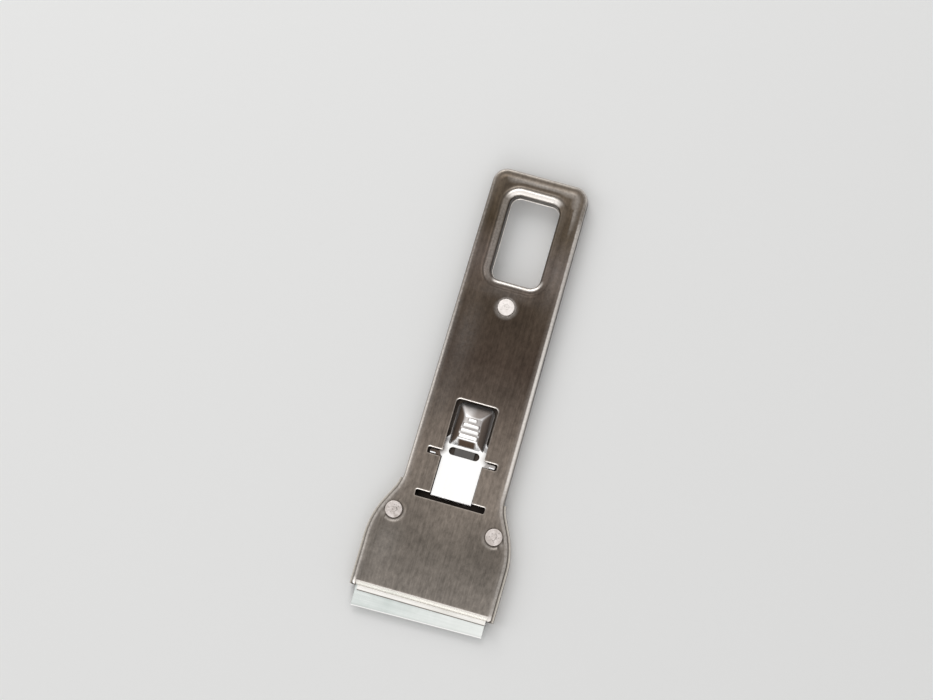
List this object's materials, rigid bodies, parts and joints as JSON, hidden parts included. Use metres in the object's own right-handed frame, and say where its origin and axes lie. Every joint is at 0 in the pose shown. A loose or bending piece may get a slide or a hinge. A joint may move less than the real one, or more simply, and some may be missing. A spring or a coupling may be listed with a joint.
{
  "type": "ceramic hob scraper",
  "caption": "Flat sheet-steel hob scraper with a beaded hanging hole, a latching thumb slide with a ridged pad, and a clamped replaceable razor blade across its wide head.",
  "frame": {"origin": "centre of the bounding box's bottom: midway along the scraper, on the face of the back cover that it lies on", "axes": "+Y along the handle from the blade towards the hanging hole, +X to the right with the front cover facing the viewer, +Z out of the front face"},
  "size_m": [0.0442, 0.1378, 0.0072],
  "materials": {
    "cover_steel": "stainless sheet brushed along the handle",
    "back_steel": "stainless sheet brushed along the handle",
    "rivet_steel": "matt pressed aluminium",
    "bright_steel": "bright rolled sheet",
    "spring_steel": "cold-rolled spring strip",
    "blade_steel": "ground carbon steel, oiled"
  },
  "bodies": {
    "covers": {"front_cover": "cover_steel", "back_cover": "back_steel", "handle_rivet": "rivet_steel", "left_shoulder_rivet": "rivet_steel", "right_shoulder_rivet": "rivet_steel", "handle_spacer": "back_steel", "left_shoulder_spacer": "back_steel", "right_shoulder_spacer": "back_steel"},
    "carriage": {"blade_carrier": "bright_steel", "blade_clamp": "bright_steel", "left_clamp_rivet": "rivet_steel", "right_clamp_rivet": "rivet_steel", "return_spring": "spring_steel", "spring_rivet": "rivet_steel"},
    "thumb": {"thumb_slide": "bright_steel"},
    "razor": {"blade": "blade_steel"}
  },
  "joints": [
    {"name": "carriage_slide", "type": "slide", "parent": "covers", "child": "carriage", "axis": [0, -1, 0], "range_m": [0, 0.0132]},
    {"name": "thumb_press", "type": "hinge", "parent": "carriage", "child": "thumb", "pos_m": [0, -0.03146, 0.00127], "axis": [-1, 0, 0], "range_deg": [-2.9, 0.8], "stiffness_Nm_per_rad": 1, "springref_deg": -4.01, "deforming": ["return_spring"]},
    {"name": "blade_release", "type": "slide", "parent": "carriage", "child": "razor", "axis": [0, -1, 0], "range_m": [0, 0.018]}
  ]
}
